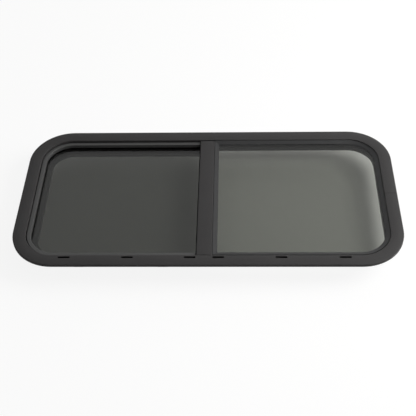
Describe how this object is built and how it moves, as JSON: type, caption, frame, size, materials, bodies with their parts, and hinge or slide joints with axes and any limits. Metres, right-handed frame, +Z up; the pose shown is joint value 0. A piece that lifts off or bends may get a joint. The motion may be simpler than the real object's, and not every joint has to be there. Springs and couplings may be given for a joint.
{
  "type": "half-slider camper window",
  "caption": "Rounded camper van window with a broad clamp-in flange, a fixed tinted pane, a sliding tinted sash behind it, a central mullion and an insect screen.",
  "frame": {"origin": "middle of the flange's back plane, which lies on the outside of the wall", "axes": "+X along the width, to the right seen from outside; +Y through the wall into the vehicle; +Z up"},
  "size_m": [1, 0.0436, 0.49],
  "materials": {
    "black_powder_coat": "satin fine-texture powder coat on bent aluminium extrusion",
    "closed_cell_foam": "matte closed-cell foam strip",
    "infill_rubber": "satin extruded rubber",
    "gasket_rubber": "matte extruded rubber",
    "privacy_glass": "toughened grey privacy glass, flat and polished",
    "felt": "flocked felt and wool pile",
    "black_nylon": "fine-texture moulded nylon",
    "zinc_plate": "zinc-plated steel",
    "screen_frame_paint": "satin black roll-formed aluminium",
    "insect_mesh": "woven coated glass-fibre mesh"
  },
  "bodies": {
    "frame": {"outer_frame": "black_powder_coat", "flange_seal": "closed_cell_foam", "channel_infill": "infill_rubber", "fixed_glass": "privacy_glass", "glazing_gasket": "gasket_rubber", "mullion": "black_powder_coat", "mullion_gasket": "gasket_rubber", "mullion_pile": "felt", "jamb_run_channel": "felt", "bottom_run_channel": "felt", "top_run_channel": "felt", "bottom_travel_stop": "gasket_rubber", "top_travel_stop": "gasket_rubber", "latch_keeper": "zinc_plate", "screen_frame": "screen_frame_paint", "screen_mesh": "insect_mesh", "screen_spline": "gasket_rubber", "top_screen_clip_1": "black_nylon", "bottom_screen_clip_1": "black_nylon", "top_screen_clip_2": "black_nylon", "bottom_screen_clip_2": "black_nylon"},
    "sash": {"sash_glass": "privacy_glass", "sash_stile": "black_powder_coat", "sash_seal": "gasket_rubber", "sash_pull": "black_nylon", "latch_lever": "black_nylon"}
  },
  "joints": [
    {"name": "sash_slide", "type": "slide", "parent": "frame", "child": "sash", "axis": [1, 0, 0], "range_m": [0, 0.366]}
  ]
}
